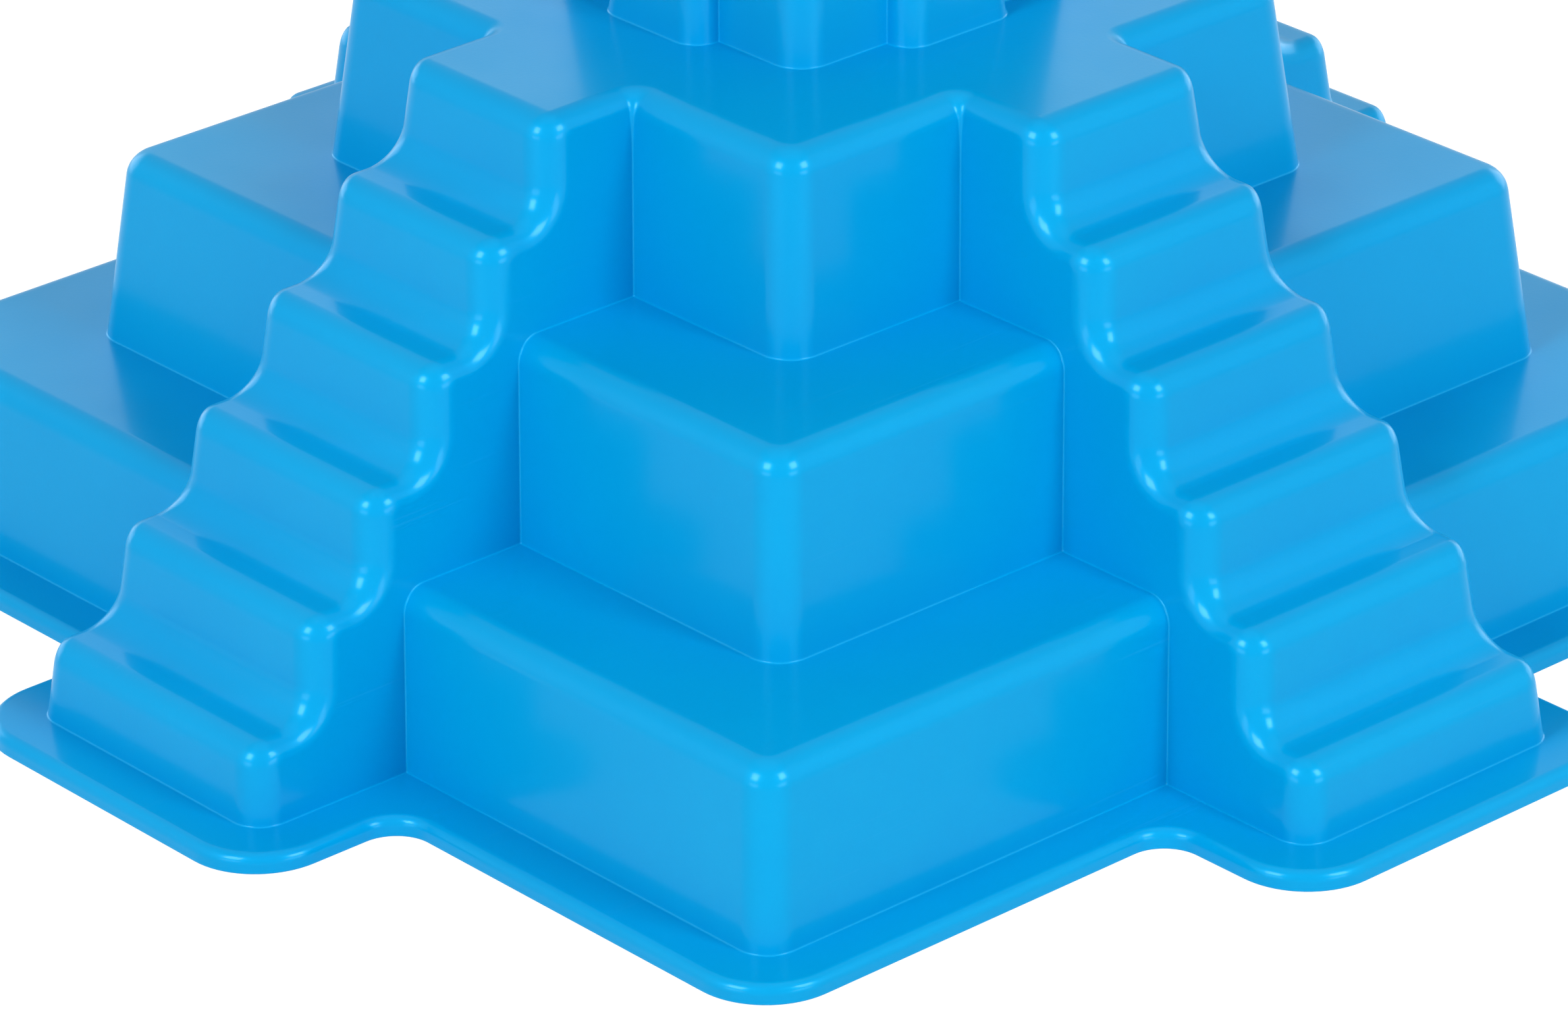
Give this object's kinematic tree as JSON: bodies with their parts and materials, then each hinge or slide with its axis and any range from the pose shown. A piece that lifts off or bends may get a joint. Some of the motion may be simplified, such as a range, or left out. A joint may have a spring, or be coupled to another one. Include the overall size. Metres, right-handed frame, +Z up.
{
  "type": "sand mould",
  "caption": "Hollow stepped-pyramid sand mould, open underneath, with a coved stairway up each side, a temple block on top and a flat rim.",
  "frame": {"origin": "centre of the plane that the rim stands on, under the temple", "axes": "+Z up through the temple, +X along the right stairway, -Y along the front stairway"},
  "size_m": [0.2754, 0.2754, 0.12],
  "materials": {
    "moulded_plastic": "smooth semi-gloss moulded polypropylene"
  },
  "bodies": {
    "root": {"base_rim": "moulded_plastic", "lower_tier": "moulded_plastic", "middle_tier": "moulded_plastic", "upper_tier": "moulded_plastic", "front_stairway": "moulded_plastic", "right_stairway": "moulded_plastic", "back_stairway": "moulded_plastic", "left_stairway": "moulded_plastic", "temple_walls": "moulded_plastic", "temple_roof": "moulded_plastic"}
  },
  "joints": []
}
